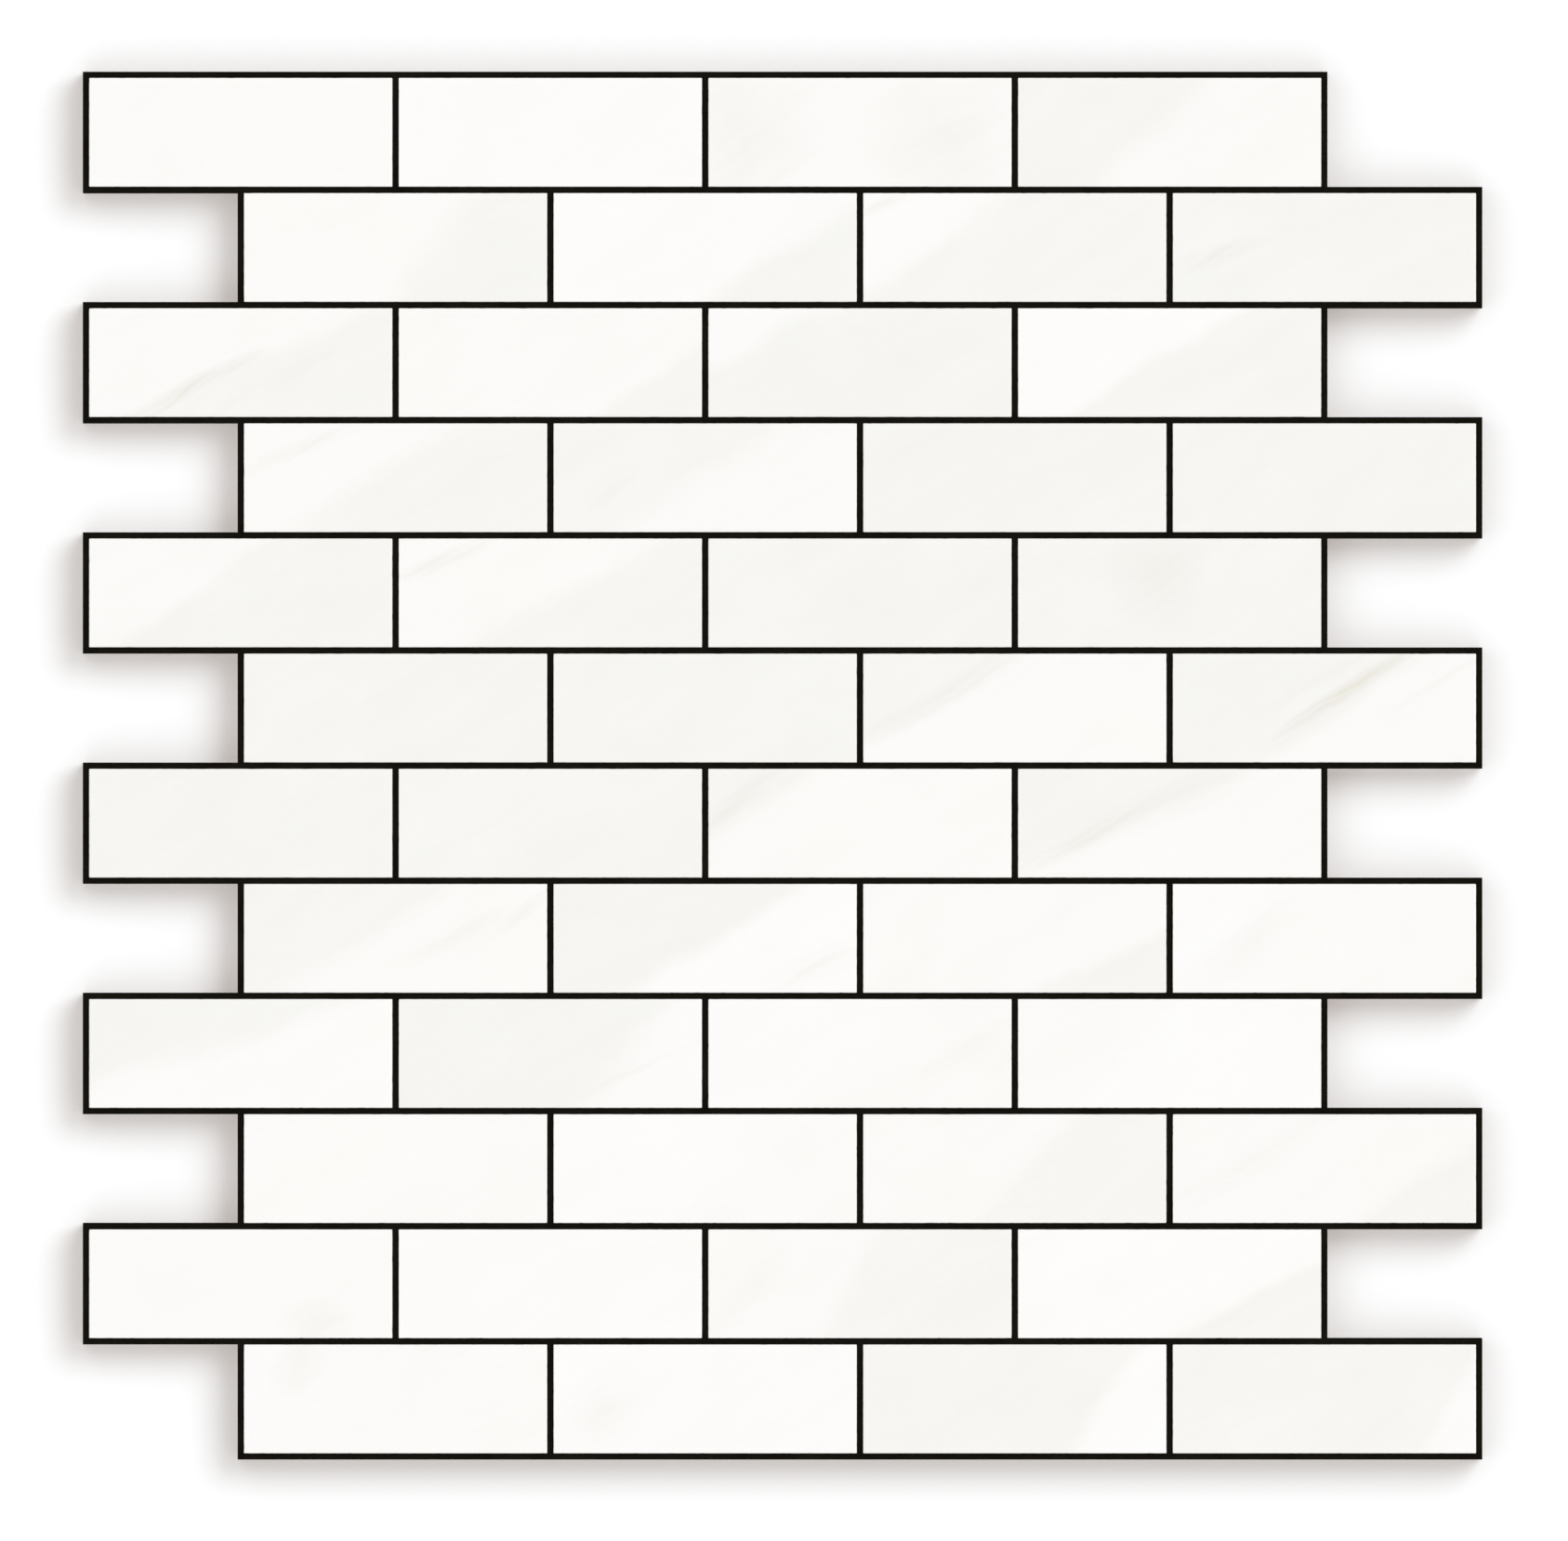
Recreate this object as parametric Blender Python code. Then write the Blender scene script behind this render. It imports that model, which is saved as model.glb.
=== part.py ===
"""Mosaic sheet of sawn white marble chips, laid in half bond.

Equal chips stand in staggered rows on a glass-fibre mesh. A black joint filler is cast between the
chips and one joint's width round them, so that it follows the stepped outline of the sheet.

Units are metres, with +Z up. The origin is the centre of the underside. The rows run along X, and
the first row is the one furthest towards +Y.
"""

import bmesh
import bpy
from mathutils import Matrix, Vector

# How many chips there are
ROWS = 12
CHIPS_PER_ROW = 4

# The marble chip
CHIP_LENGTH = 0.0652
CHIP_WIDTH = 0.0234
CHIP_THICKNESS = 0.0080
EASED_EDGE = 0.0003
EASED_EDGE_SEGMENTS = 2

# The black joint filler
JOINT_WIDTH = 0.00135
JOINT_RECESS = 0.0004

# The glass-fibre mesh under the chips
MESH_THICKNESS = 0.0006
MESH_MARGIN = 0.0010

# The glue line, which is the clearance between any two pieces that are bonded together
GLUE_LINE = 0.0003

# The pitch of the bond, and the levels of the layers
LENGTH_PITCH = CHIP_LENGTH + JOINT_WIDTH
WIDTH_PITCH = CHIP_WIDTH + JOINT_WIDTH
STAGGER = LENGTH_PITCH / 2
CHIP_BOTTOM = MESH_THICKNESS + GLUE_LINE
CHIP_TOP = CHIP_BOTTOM + CHIP_THICKNESS
FILLER_TOP = CHIP_TOP - JOINT_RECESS

# A row with its border, and the whole sheet
ROW_LENGTH = CHIPS_PER_ROW * LENGTH_PITCH + JOINT_WIDTH
ROW_WIDTH = WIDTH_PITCH + JOINT_WIDTH
SHEET_WIDTH = ROWS * WIDTH_PITCH + JOINT_WIDTH

# The pocket cutter runs past both faces of the filler
CUTTER_OVERRUN = 0.002

# Colour, roughness
MARBLE = ((0.93, 0.92, 0.89, 1.0), 0.32)
BLACK_FILLER = ((0.007, 0.006, 0.005, 1.0), 0.85)
GLASS_FIBRE = ((0.78, 0.78, 0.75, 1.0), 0.70)


def row_centre(row):
    """The middle of a row. The rows lie a quarter pitch left and right of the sheet's middle in turn."""
    side = -1 if row % 2 == 0 else 1
    top_row_y = (ROWS - 1) * WIDTH_PITCH / 2
    return Vector((side * STAGGER / 2, top_row_y - row * WIDTH_PITCH, 0.0))


def chip_centre(row, place):
    """The middle of a chip's underside. Places count from the left, from 0."""
    from_middle = place - (CHIPS_PER_ROW - 1) / 2
    return row_centre(row) + Vector((from_middle * LENGTH_PITCH, 0.0, CHIP_BOTTOM))


def chip_places():
    """Row and place of every chip, from the top left."""
    return [(row, place) for row in range(ROWS) for place in range(CHIPS_PER_ROW)]


def stepped_side(side, inset):
    """The corners down one long side of the outline. The side is -1 for left and 1 for right."""

    def edge(row):
        return row_centre(row).x + side * (ROW_LENGTH / 2 - inset)

    corners = [(edge(0), SHEET_WIDTH / 2 - inset)]
    for row in range(ROWS - 1):
        steps_out = side * (edge(row + 1) - edge(row)) > 0
        if steps_out:
            step_y = row_centre(row + 1).y + ROW_WIDTH / 2 - inset
        else:
            step_y = row_centre(row).y - ROW_WIDTH / 2 + inset
        corners += [(edge(row), step_y), (edge(row + 1), step_y)]
    corners.append((edge(ROWS - 1), inset - SHEET_WIDTH / 2))
    return corners


def stepped_slab(name, bottom, top, inset=0.0):
    """A slab with the sheet's stepped outline, drawn in by an inset."""
    outline = stepped_side(-1, inset) + stepped_side(1, inset)[::-1]
    mesh = bmesh.new()
    face = mesh.faces.new([mesh.verts.new((x, y, bottom)) for x, y in outline])
    raised = bmesh.ops.extrude_face_region(mesh, geom=[face])["geom"]
    raised_verts = [item for item in raised if isinstance(item, bmesh.types.BMVert)]
    bmesh.ops.translate(mesh, verts=raised_verts, vec=(0.0, 0.0, top - bottom))
    bmesh.ops.recalc_face_normals(mesh, faces=mesh.faces)
    return as_mesh(mesh, name)


def as_mesh(source, name):
    """Turns a bmesh into mesh data, and frees it."""
    data = bpy.data.meshes.new(name)
    source.to_mesh(data)
    source.free()
    return data


def add_block(mesh, length, width, low, high, centre=(0.0, 0.0)):
    """Adds an upright block to a bmesh and returns its vertices."""
    place = Matrix.Translation((centre[0], centre[1], (low + high) / 2))
    size = Matrix.Diagonal((length, width, high - low, 1.0))
    return bmesh.ops.create_cube(mesh, size=1.0, matrix=place @ size)["verts"]


def chip_mesh():
    """A sawn chip that stands on its origin. Its back is sharp, and its other edges are eased."""
    mesh = bmesh.new()
    add_block(mesh, CHIP_LENGTH, CHIP_WIDTH, 0.0, CHIP_THICKNESS)
    half_height = CHIP_THICKNESS / 2
    eased = [edge for edge in mesh.edges if max(v.co.z for v in edge.verts) > half_height]
    bmesh.ops.bevel(
        mesh,
        geom=eased,
        offset=EASED_EDGE,
        offset_type="OFFSET",
        affect="EDGES",
        segments=EASED_EDGE_SEGMENTS,
        profile=0.5,
        material=-1,
    )
    data = as_mesh(mesh, "marble_chip")
    data.shade_smooth()
    data.set_sharp_from_angle(angle=0.6)
    return data


def pocket_cutter_mesh():
    """One block for each chip, wider than the chip by a glue line on every side."""
    mesh = bmesh.new()
    for row, place in chip_places():
        add_block(
            mesh,
            CHIP_LENGTH + 2 * GLUE_LINE,
            CHIP_WIDTH + 2 * GLUE_LINE,
            CHIP_BOTTOM - CUTTER_OVERRUN,
            FILLER_TOP + CUTTER_OVERRUN,
            centre=chip_centre(row, place).xy,
        )
    return as_mesh(mesh, "pocket_cutter")


def make_material(name, look):
    """A Principled material from a colour and a roughness."""
    colour, roughness = look
    material = bpy.data.materials.new(name)
    material.use_nodes = True
    shader = material.node_tree.nodes["Principled BSDF"]
    shader.inputs["Base Color"].default_value = colour
    shader.inputs["Roughness"].default_value = roughness
    shader.inputs["Metallic"].default_value = 0.0
    material.diffuse_color = colour
    return material


def add_object(name, data, parent, material=None, location=(0.0, 0.0, 0.0)):
    """Links a new object to the scene, under its parent."""
    made = bpy.data.objects.new(name, data)
    bpy.context.scene.collection.objects.link(made)
    made.parent = parent
    made.location = location
    if material and not data.materials:
        data.materials.append(material)
    return made


def build_mesh_backing(sheet):
    """The glass-fibre mesh, as one thin sheet that stops short of the filler's outer face."""
    data = stepped_slab("mesh_backing", 0.0, MESH_THICKNESS, inset=MESH_MARGIN)
    add_object("mesh_backing", data, sheet, make_material("glass_fibre", GLASS_FIBRE))


def build_joint_filler(sheet):
    """The black lattice: the stepped slab with a pocket cut through it for every chip."""
    data = stepped_slab("joint_filler", CHIP_BOTTOM, FILLER_TOP)
    filler = add_object("joint_filler", data, sheet, make_material("black_filler", BLACK_FILLER))
    cutter = add_object("pocket_cutter", pocket_cutter_mesh(), sheet)
    cutter.hide_render = True
    cutter.display_type = "WIRE"
    pockets = filler.modifiers.new("chip_pockets", "BOOLEAN")
    pockets.operation = "DIFFERENCE"
    pockets.solver = "EXACT"
    pockets.object = cutter


def build_chips(sheet):
    """Every chip, numbered by its row and by its place in the row."""
    data = chip_mesh()
    marble = make_material("white_marble", MARBLE)
    for row, place in chip_places():
        name = f"marble_chip_{row + 1:02d}_{place + 1}"
        add_object(name, data, sheet, marble, chip_centre(row, place))


def main():
    for old in list(bpy.data.objects):
        bpy.data.objects.remove(old)
    sheet = add_object("mosaic_sheet", None, None)
    build_mesh_backing(sheet)
    build_joint_filler(sheet)
    build_chips(sheet)


main()
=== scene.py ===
"""Looks of a marble mosaic sheet: 48 honed chips in half bond, black joints and a woven mesh back.

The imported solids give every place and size. Each piece here is made where its solid lies and
takes that solid's place. Lengths are in metres, but for the band, the bed edges and the veins of
the stone, which are in millimetres as they were read.
"""

import math
import random

import bmesh
import bpy
from mathutils import Matrix, Vector, noise


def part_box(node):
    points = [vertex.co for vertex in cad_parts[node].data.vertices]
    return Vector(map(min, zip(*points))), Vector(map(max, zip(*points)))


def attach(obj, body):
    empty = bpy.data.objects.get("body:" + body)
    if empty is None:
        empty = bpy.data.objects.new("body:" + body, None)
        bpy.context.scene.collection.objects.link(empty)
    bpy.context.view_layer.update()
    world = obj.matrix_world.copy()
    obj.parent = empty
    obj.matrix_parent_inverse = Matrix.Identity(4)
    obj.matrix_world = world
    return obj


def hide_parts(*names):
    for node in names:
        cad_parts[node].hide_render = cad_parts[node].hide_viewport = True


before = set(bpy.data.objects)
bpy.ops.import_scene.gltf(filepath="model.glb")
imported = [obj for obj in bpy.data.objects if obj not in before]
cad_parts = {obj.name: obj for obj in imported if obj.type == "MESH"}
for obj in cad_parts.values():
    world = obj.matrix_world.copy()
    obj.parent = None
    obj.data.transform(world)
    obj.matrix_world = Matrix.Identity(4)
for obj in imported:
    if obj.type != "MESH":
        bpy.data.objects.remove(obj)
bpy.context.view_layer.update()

bl_info = {
    "name": "Marble mosaic sheet",
    "version": (1, 0, 0),
    "blender": (4, 5, 0),
    "location": "3D View > Sidebar > Mosaic",
    "description": "Dresses the solids of a mesh-mounted marble mosaic sheet",
    "category": "Add Mesh",
}

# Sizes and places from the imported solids
MM = 0.001
BODY = "root"
CHIPS = {name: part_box(name) for name in sorted(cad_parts) if name.startswith("marble_chip_")}
CHIPS_PER_ROW = 4
CHIP_ROWS = [list(CHIPS.values())[i:i + CHIPS_PER_ROW] for i in range(0, len(CHIPS), CHIPS_PER_ROW)]
JOINT_WIDTH = CHIP_ROWS[0][1][0].x - CHIP_ROWS[0][0][1].x
FILLER_LOW, FILLER_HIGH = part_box("joint_filler")
BACKING_LOW, BACKING_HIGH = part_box("mesh_backing")
BACKING_MARGIN = BACKING_LOW.x - FILLER_LOW.x
CHIP_BOTTOM, CHIP_TOP = (corner.z for corner in CHIP_ROWS[0][0])
ROW_PITCH = CHIP_ROWS[0][0][0].y - CHIP_ROWS[1][0][0].y

# The photograph's frame, and the sheet's edges in it, in pixels
PICTURE_WIDTH, PICTURE_HEIGHT = 1687, 1658
SHEET_LEFT, SHEET_RIGHT = 89.03, 1594.83
SHEET_TOP, SHEET_BOTTOM = 77.37, 1570.20

# The stone's bedding rises to the right at this angle, in degrees
BEDDING_ANGLE = 31.0

# The stones of the slab, by tone, and those that a bed is drawn from where it isn't grey
WHITE, PALE, GREY = -0.15, 0.2, 1.0
LIGHT_STONES = (WHITE, PALE, PALE)

# The tones at which the marble shows each of its five colours, from the whitest to the vein's
COLOUR_TONES = (-0.6, 0.0, 1.0, 2.0, 4.0)

# Grey stone gathers in a band that rises across the sheet: a point on its middle line, its lean in
# degrees, up to how far from that line all the stone is grey, and from where on none is
BAND_PLACE = (0, 20)
BAND_LEAN = 27.0
BAND_CORE, BAND_END = 25.0, 60.0

# The edges between two beds that stand out, read off the photograph: where each one starts
# and ends on the sheet in millimetres, and the stones above and below it
BED_EDGES = (
    ((72, 128), (88, 145), GREY, PALE),
    ((-80, 104), (-66, 122), PALE, GREY),
    ((-14, 102), (14, 118), WHITE, GREY),
    ((19, 103), (40, 117), WHITE, GREY),
    ((-138, 76), (-88, 98), PALE, GREY),
    ((-37, 77), (-19, 90), PALE, GREY),
    ((-15, 86), (11, 98), PALE, GREY),
    ((62, 76), (92, 94), WHITE, GREY),
    ((-100, 55), (-70, 72), PALE, GREY),
    ((-28, 55), (-8, 68), GREY, PALE),
    ((-136, 30), (-116, 46), PALE, GREY),
    ((-62, 29), (-29, 47), PALE, GREY),
    ((20, 7), (48, 23), GREY, PALE),
    ((104, 3), (133, 23), GREY, PALE),
    ((-14, -16), (4, -3), GREY, PALE),
    ((54, -22), (96, -3), GREY, PALE),
    ((-97, -42), (-74, -27), GREY, PALE),
    ((58, -47), (81, -36), PALE, GREY),
    ((-146, -69), (-96, -51), GREY, WHITE),
    ((-40, -71), (-26, -52), GREY, PALE),
    ((42, -97), (62, -77), PALE, GREY),
    ((124, -97), (148, -82), PALE, GREY),
    ((9, -121), (18, -104), PALE, GREY),
    ((86, -121), (114, -107), WHITE, GREY),
    ((64, -146), (77, -126), GREY, WHITE),
    ((138, -147), (149, -128), GREY, WHITE),
)

# The veins and clouds that stand out, read off the photograph too: where each one starts and ends,
# how wide it is, and how strong. They fade outwards, so that each reaches further than it shows, by
# these factors along and across it.
FAINT, CLEAR, STRONG = 0.5, 1.0, 2.2
FADE_ALONG, FADE_ACROSS = 1.8, 1.4
VEINS = (
    ((-18, 130), (2, 139), 30, CLEAR), ((24, 131), (48, 139), 30, CLEAR),
    ((18, 119), (26, 122), 3, CLEAR),
    ((85, 107), (100, 112), 4, CLEAR),
    ((-138, 76), (-118, 86), 3, STRONG), ((-118, 78), (-98, 88), 3, FAINT),
    ((-112, 65), (-92, 73), 3, CLEAR),
    ((-40, 56), (-33, 61), 2, FAINT),
    ((-80, 41), (-66, 47), 3, CLEAR),
    ((74, 38), (86, 44), 16, CLEAR),
    ((20, 7), (48, 23), 5, CLEAR),
    ((104, 3), (133, 23), 5, CLEAR), ((112, 10), (132, 23), 3, STRONG), ((108, 14), (124, 23), 3, FAINT),
    ((131, 11), (146, 21), 2, FAINT),
    ((-15, -12), (-3, -2), 4, CLEAR),
    ((54, -22), (74, -11), 3, CLEAR), ((70, -13), (96, -3), 7, CLEAR),
    ((-80, -42), (-62, -32), 3, FAINT), ((-60, -35), (-51, -28), 3, CLEAR),
    ((0, -47), (16, -39), 6, CLEAR),
    ((92, -45), (110, -28), 8, FAINT),
    ((-40, -70), (-23, -61), 3, FAINT),
    ((28, -69), (48, -56), 5, FAINT),
    ((86, -94), (112, -78), 6, FAINT),
    ((-13, -120), (-1, -106), 6, FAINT),
    ((-106, -121), (-96, -119), 9, CLEAR),
    ((-107, -133), (-101, -124), 9, CLEAR),
    ((-43, -144), (-34, -133), 13, CLEAR),
)

# How the chips differ: where the beds of a chip without a listed edge meet along it, from 0 at its
# left end to 1 at its right, and how far their edge leans from the bedding angle in degrees; and on
# every chip, how far a bed strays from its stone's tone, and the width of the blend as shares of
# its setting
MEETING_RANGE = (0.1, 0.9)
LEAN_RANGE = (-8.0, 16.0)
TONE_RANGE = (-0.10, 0.10)
BLEND_RANGE = (0.6, 2.2)

# How the lines of the stone wander: the scales of a wide and of a small sway, how far the wide one
# moves the beds' edges and the veins, and how far the small one moves both
WIDE_SWAY, SMALL_SWAY = 45, 220
BED_REACH, VEIN_REACH, SMALL_REACH = 6 * MM, 1.5 * MM, 1.2 * MM

# Length and width of the soft patches and of the fine lines in the beds. Their third direction is
# the chip's number, and in it they are thinner than one step, so that each chip has its own.
PATCH_SIZE, LINE_SIZE = (20 * MM, 9 * MM), (45 * MM, 1.3 * MM)
PATTERN_DEPTH = 0.37

# The tints that the stone drifts between, the levels of the noise at which it has them, and how
# much its crystals vary the gloss
COOL_TINT, WARM_TINT = (0.996, 1.001, 1.004), (1.003, 0.998, 0.994)
COOL_LEVEL, WARM_LEVEL = 0.35, 0.65
CRYSTAL_SPREAD = 0.14

# Bites in the chips' upper edges: the scales of the two noises that place them, the share of the
# finer one, the level above which the stone is bitten, how fast a bite deepens, the share of the
# depth that is left away from the bites, and the share of a bite that goes downwards
BITE_SCALE, FINE_BITE_SCALE, FINE_BITE_SHARE = 900, 2600, 0.5
BITE_LEVEL, BITE_GROWTH, BITE_REST, BITE_FALL = 0.15, 2, 0.08, 0.5

# The joints: how many cuts break up the border's walls, how far the walls and the joints' floors
# ripple and at what scale, the turn above which an edge stays sharp, how dust and grit share in the
# colour and how much the grit varies the gloss, and the levels at which the filler is black and worn
WALL_CUTS = 3
WALL_RIPPLE, FLOOR_RIPPLE, RIPPLE_SCALE = 0.05 * MM, 0.035 * MM, 330
SHARP_TURN = math.radians(40)
DUST_SHARE, GRIT_SHARE, GRIT_SPREAD = 0.6, 0.4, 0.12
BLACK_LEVEL, WORN_LEVEL = 0.38, 0.66

# The yarns: the room left above and below the waves of the single and of the paired ones, how far
# the single ones sway and at what scale, how far the pairs twist up and down, the length, width and
# height of a fibre, the shades of the fibres against the yarn's colour, how they vary the gloss, and
# the levels at which they have those shades
WEFT_ROOM, WARP_ROOM = 0.06 * MM, 0.08 * MM
WEFT_SWAY, WEFT_SWAY_SCALE, WARP_TWIST = 0.12 * MM, 60, 0.06 * MM
FIBRE_SIZE = (6 * MM, 0.12 * MM, 0.12 * MM)
DARK_FIBRE, LIGHT_FIBRE, FIBRE_SPREAD = 0.72, 1.12, 0.2
DARK_LEVEL, LIGHT_LEVEL = 0.3, 0.65

# The pads of adhesive: their steps along and across, the scales of their lumps and fine lumps, how
# far their rim wanders and lies inside, how far it rises, the heights of the lumps, where the noise
# of the heights is read away from the rim's, the shade where they are thin, how lumps vary the
# gloss, and the levels at which they show as thin and as thick
PAD_STEPS = (28, 10)
LUMP_SCALE, FINE_LUMP_SCALE = 140, 420
RIM_WANDER, RIM_INSIDE, RIM_RISE = 0.9 * MM, 0.3 * MM, 0.22 * MM
LUMP_HEIGHT, FINE_LUMP_HEIGHT = 0.10 * MM, 0.05 * MM
SWELL_SHIFT = Vector((0, 0, 7.3))
THIN_GLUE, LUMP_SPREAD = 0.86, 0.3
THIN_LEVEL, THICK_LEVEL = 0.35, 0.62

# The camera sees from this distance on, and up to this many times its height. The floor lies this
# far under the sheet.
NEAREST, FARTHEST = 0.1, 5
FLOOR_DROP = 0.1 * MM

# A direction counts as parallel to an axis, a face as a wall and a face as flat by the part of it
# that points along the axis or up. Heights less than a sliver apart count as one, places are told
# apart to this many decimals of a metre, and a cut closer to a point than this runs through it.
PARALLEL, WALL, FLAT = 0.999, 0.5, 0.995
SLIVER = 0.01 * MM
DECIMALS = 6
CUT_SNAP = 1e-7


class Socket:
    """An output of a shader node. Arithmetic on it adds Math nodes."""

    def __init__(self, nodes, output):
        self.nodes, self.output = nodes, output

    def math(self, operation, first, second):
        return self.nodes.add("Math", {0: first, 1: second}, operation=operation)

    def __add__(self, other):
        return self.math("ADD", self, other)

    def __sub__(self, other):
        return self.math("SUBTRACT", self, other)

    def __rsub__(self, other):
        return self.math("SUBTRACT", other, self)

    def __mul__(self, other):
        return self.math("MULTIPLY", self, other)

    def __truediv__(self, other):
        return self.math("DIVIDE", self, other)

    def __rtruediv__(self, other):
        return self.math("DIVIDE", other, self)

    __radd__ = __add__
    __rmul__ = __mul__


class Nodes:
    """The node tree of one material or world."""

    def __init__(self, owner):
        owner.use_nodes = True
        self.tree = owner.node_tree
        self.tree.nodes.clear()

    def add(self, kind, sockets=None, output=0, stops=(), **settings):
        """Adds a node, sets it up, fills its sockets by name or number, and returns one output."""
        node = self.tree.nodes.new("ShaderNode" + kind)
        for name, value in settings.items():
            setattr(node, name, value)
        for position, _ in stops[1:-1]:
            node.color_ramp.elements.new(position)
        for (position, colour), element in zip(stops, node.color_ramp.elements if stops else ()):
            element.position, element.color = position, (*colour, 1)
        usable = [socket for socket in node.inputs if socket.enabled]
        for key, value in (sockets or {}).items():
            socket = usable[key] if isinstance(key, int) else next(s for s in usable if s.name == key)
            if isinstance(value, Socket):
                self.tree.links.new(value.output, socket)
            else:
                socket.default_value = value
        given = [socket for socket in node.outputs if socket.enabled]
        if not given:
            return None
        return Socket(self, given[output] if isinstance(output, int) else node.outputs[output])

    def shaken(self, place, scale, reach):
        """Moves the place where a pattern is read to and fro, so that its lines wander."""
        colour = self.add("TexNoise", {"Vector": place, "Scale": scale, "Detail": 2.0}, output="Color")
        centred = self.add("VectorMath", {0: colour, 1: (0.5, 0.5, 0.5)}, operation="SUBTRACT")
        return self.add("VectorMath", {0: centred, 1: (reach,) * 3, 2: place}, operation="MULTIPLY_ADD")

    def attribute(self, name):
        """A vector that the mesh stores."""
        return self.add("Attribute", output="Vector", attribute_name=name)

    def parts(self, vector):
        """The three parts of a vector."""
        node = self.add("SeparateXYZ", {0: vector}).output.node
        return [Socket(self, output) for output in node.outputs]

    def stretched(self, place, angle, lengths, detail=2.0):
        """Noise drawn out along a direction, from 0 to 1."""
        local = self.add(
            "Mapping", {"Vector": place, "Rotation": (0, 0, angle), "Scale": lengths}, vector_type="TEXTURE"
        )
        return self.add("TexNoise", {"Vector": local, "Scale": 1.0, "Detail": detail})

    def surface(self, shader):
        self.add("OutputMaterial", {"Surface": shader})


def colour_setting(name, description, default):
    return bpy.props.FloatVectorProperty(
        name=name, description=description, default=default, size=3, min=0, max=2, subtype="COLOR"
    )


def length_setting(name, description, default):
    return bpy.props.FloatProperty(
        name=name, description=description, default=default, min=0, precision=5,
        subtype="DISTANCE", unit="LENGTH",
    )


def share_setting(name, description, default):
    return bpy.props.FloatProperty(
        name=name, description=description, default=default, min=0, max=1, subtype="FACTOR"
    )


def angle_setting(name, description, degrees):
    return bpy.props.FloatProperty(
        name=name, description=description, default=math.radians(degrees), subtype="ANGLE", unit="ROTATION"
    )


class StageSettings(bpy.types.PropertyGroup):
    """The camera, the light and the floor."""

    lens: bpy.props.FloatProperty(
        name="Lens", description="Focal length, long so that the sheet is seen square-on", default=1000,
        subtype="DISTANCE_CAMERA",
    )
    sky: share_setting("Sky", "Share of a level face's light that comes evenly from above", 0.298)
    bounce: share_setting("Bounce", "Light that comes up from the floor", 0.95)
    high_share: share_setting("High lamp share", "Share of a level face's light from the high lamp", 0.382)
    high_tilt: angle_setting("High lamp tilt", "How far the high lamp leans from straight above", 0)
    high_size: angle_setting("High lamp size", "Angle that the high lamp fills", 108)
    low_share: share_setting("Low lamp share", "Share of a level face's light from the low lamp", 0.313)
    low_tilt: angle_setting("Low lamp tilt", "How far the low lamp leans from straight above", 43)
    low_size: angle_setting("Low lamp size", "Angle that the low lamp fills", 39)
    heading: angle_setting("Heading", "Where both lamps lean to, from +X towards +Y", 38)
    floor_colour: colour_setting("Floor colour", "Colour of the pale floor", (0.723, 0.785, 0.821))
    floor_glow: colour_setting(
        "Floor glow", "What the floor shows besides, so that it is white where it is lit",
        (0.328, 0.270, 0.237),
    )
    floor_reach: length_setting("Floor reach", "Half the width of the floor", 3.0)


class MarbleSettings(bpy.types.PropertyGroup):
    """The honed marble chips."""

    whitest: colour_setting("Whitest", "Colour of the palest stone", (0.997, 0.992, 0.980))
    pale: colour_setting("Pale", "Colour of the pale beds", (0.987, 0.972, 0.956))
    grey: colour_setting("Grey", "Colour of the grey beds", (0.933, 0.923, 0.892))
    deep: colour_setting("Deep grey", "Colour of the deepest clouds", (0.893, 0.878, 0.837))
    vein: colour_setting("Vein", "Colour of the darkest veins", (0.832, 0.806, 0.722))
    bed_blend: length_setting("Bed blend", "Half the width over which two beds blend", 2.2 * MM)
    mottling: share_setting("Mottling", "Strength of the soft patches in the beds", 1.0)
    streaking: share_setting("Streaking", "Strength of the fine lines along the beds", 0.40)
    parting: length_setting("Parting", "Width up to which the fine lines part a vein into strands", 8.0 * MM)
    roughness: share_setting("Roughness", "Roughness of the honed face", 0.34)
    eased_edge: length_setting("Eased edge", "Width of the eased upper edges", 0.18 * MM)
    nibble: length_setting("Nibble", "Depth of the small bites in the upper edges", 0.04 * MM)
    edge_step: length_setting("Edge step", "Spacing of the points along the edges", 0.65 * MM)


class FillerSettings(bpy.types.PropertyGroup):
    """The black joint filler."""

    black: colour_setting("Black", "Colour of the filler", (0.0036, 0.0029, 0.0013))
    worn: colour_setting("Worn black", "Colour of its dustier grains", (0.0079, 0.0068, 0.0041))
    roughness: share_setting("Roughness", "Roughness of the filler where it is smoothest", 0.84)
    channel: length_setting("Channel", "How far the joints sink between the chips", 0.12 * MM)
    rim: length_setting("Rim", "Width of the slope from a chip to the joint's floor", 0.30 * MM)
    rounding: length_setting("Rounding", "Radius of the border's outer edge", 0.10 * MM)
    step: length_setting("Step", "Spacing of the points along the joints", 2.5 * MM)


class BackingSettings(bpy.types.PropertyGroup):
    """The glass-fibre mesh."""

    yarn_colour: colour_setting("Yarn", "Colour of the glass yarn", (0.76, 0.776, 0.745))
    roughness: share_setting("Roughness", "Roughness of the yarn where it is smoothest", 0.45)
    pitch: length_setting("Mesh pitch", "Distance from yarn to yarn", 5.0 * MM)
    weft_width: length_setting("Weft width", "Width of the single yarns along X", 0.90 * MM)
    warp_width: length_setting("Warp width", "Width of each of the paired yarns along Y", 0.42 * MM)
    pair_offset: length_setting("Pair offset", "Half the distance within a pair", 0.34 * MM)
    yarn_thickness: length_setting("Yarn thickness", "Thickness of a yarn", 0.22 * MM)


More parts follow.
